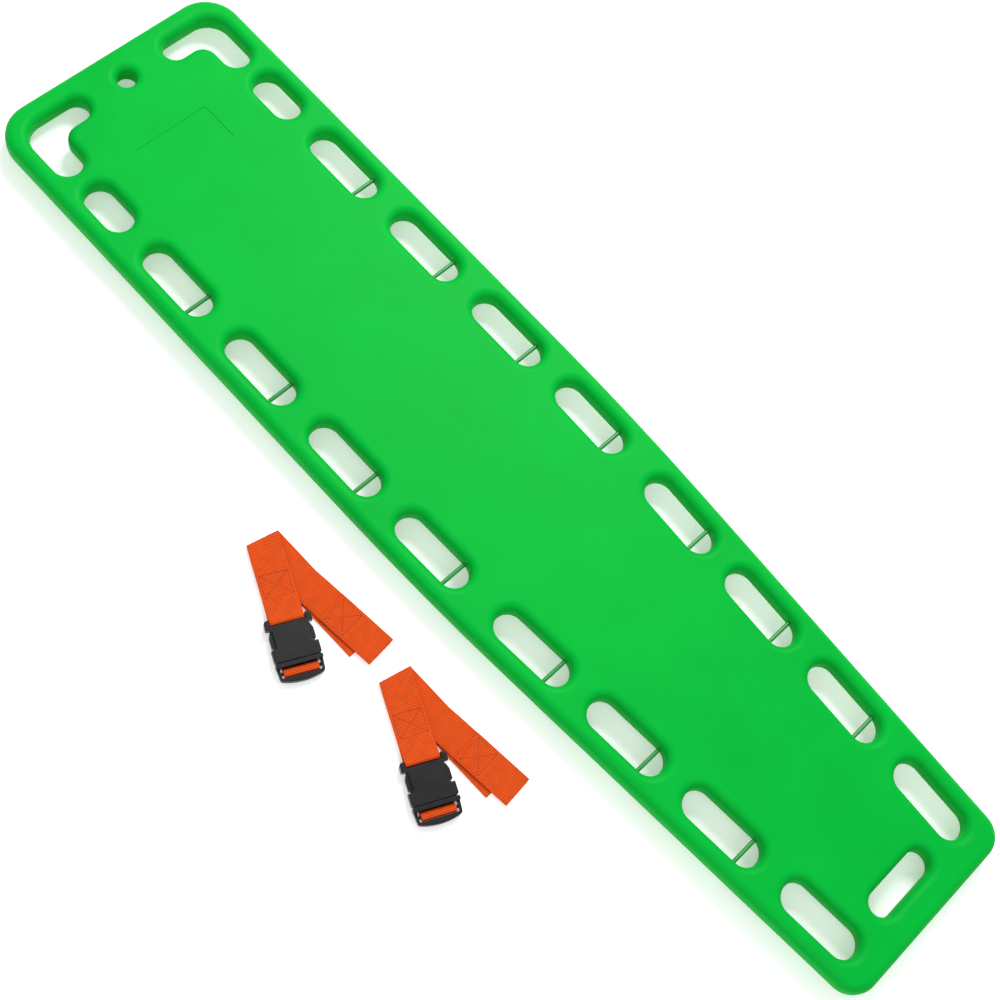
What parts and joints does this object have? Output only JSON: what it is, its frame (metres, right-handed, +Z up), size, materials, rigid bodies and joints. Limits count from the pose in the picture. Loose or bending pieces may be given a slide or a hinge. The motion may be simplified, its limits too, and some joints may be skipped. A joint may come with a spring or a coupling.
{
  "type": "spine board",
  "caption": "Long tapered plastic spine board with raised hand rails, clip pins, corner handholds and two buckled webbing straps beside it",
  "frame": {"origin": "middle of the resting face underneath the board, on the board's centre line, half way along it", "axes": "+X along the board from head to foot, +Y to the board's straight right side seen from above with the head to the left, +Z up"},
  "size_m": [1.84, 0.6855, 0.05],
  "materials": {
    "board_plastic": "satin moulded polyethylene, fine grain",
    "foam": "rigid foam",
    "pin_plastic": "satin",
    "port_plastic": "satin",
    "webbing": "woven polyester webbing, cross ribs",
    "buckle_plastic": "moulded acetal, soft gloss"
  },
  "bodies": {
    "board": {"board_skin": "board_plastic", "foam_core": "foam", "clip_pin_2_right": "pin_plastic", "clip_pin_2_left": "pin_plastic", "clip_pin_3_right": "pin_plastic", "clip_pin_3_left": "pin_plastic", "clip_pin_4_right": "pin_plastic", "clip_pin_4_left": "pin_plastic", "clip_pin_5_right": "pin_plastic", "clip_pin_5_left": "pin_plastic", "clip_pin_6_right": "pin_plastic", "clip_pin_6_left": "pin_plastic", "clip_pin_7_right": "pin_plastic", "clip_pin_7_left": "pin_plastic", "clip_pin_8_right": "pin_plastic", "clip_pin_8_left": "pin_plastic", "fill_plug": "port_plastic", "vent_plug": "port_plastic"},
    "strap_1": {"strap_1_socket_webbing": "webbing", "strap_1_plug_webbing": "webbing", "strap_1_buckle_socket": "buckle_plastic", "strap_1_buckle_plug": "buckle_plastic"},
    "strap_1_arm_right": {"strap_1_latch_arm_right": "buckle_plastic"},
    "strap_1_arm_left": {"strap_1_latch_arm_left": "buckle_plastic"},
    "strap_2": {"strap_2_socket_webbing": "webbing", "strap_2_plug_webbing": "webbing", "strap_2_buckle_socket": "buckle_plastic", "strap_2_buckle_plug": "buckle_plastic"},
    "strap_2_arm_right": {"strap_2_latch_arm_right": "buckle_plastic"},
    "strap_2_arm_left": {"strap_2_latch_arm_left": "buckle_plastic"}
  },
  "joints": [
    {"name": "strap_1_lift", "type": "slide", "parent": "board", "child": "strap_1", "axis": [0, 0, 1], "range_m": [0, 0.25]},
    {"name": "strap_1_press_right", "type": "hinge", "parent": "strap_1", "child": "strap_1_arm_right", "pos_m": [0.03866, -0.40052, 0.0112], "axis": [0, 0, 1], "range_deg": [0, 7], "stiffness_Nm_per_rad": 1},
    {"name": "strap_1_press_left", "type": "hinge", "parent": "strap_1", "child": "strap_1_arm_left", "pos_m": [0.02101, -0.43752, 0.0112], "axis": [0, 0, -1], "range_deg": [0, 7], "stiffness_Nm_per_rad": 1},
    {"name": "strap_2_lift", "type": "slide", "parent": "board", "child": "strap_2", "axis": [0, 0, 1], "range_m": [0, 0.25]},
    {"name": "strap_2_press_right", "type": "hinge", "parent": "strap_2", "child": "strap_2_arm_right", "pos_m": [0.32066, -0.39312, 0.0112], "axis": [0, 0, 1], "range_deg": [0, 7], "stiffness_Nm_per_rad": 1},
    {"name": "strap_2_press_left", "type": "hinge", "parent": "strap_2", "child": "strap_2_arm_left", "pos_m": [0.30301, -0.43012, 0.0112], "axis": [0, 0, -1], "range_deg": [0, 7], "stiffness_Nm_per_rad": 1}
  ]
}
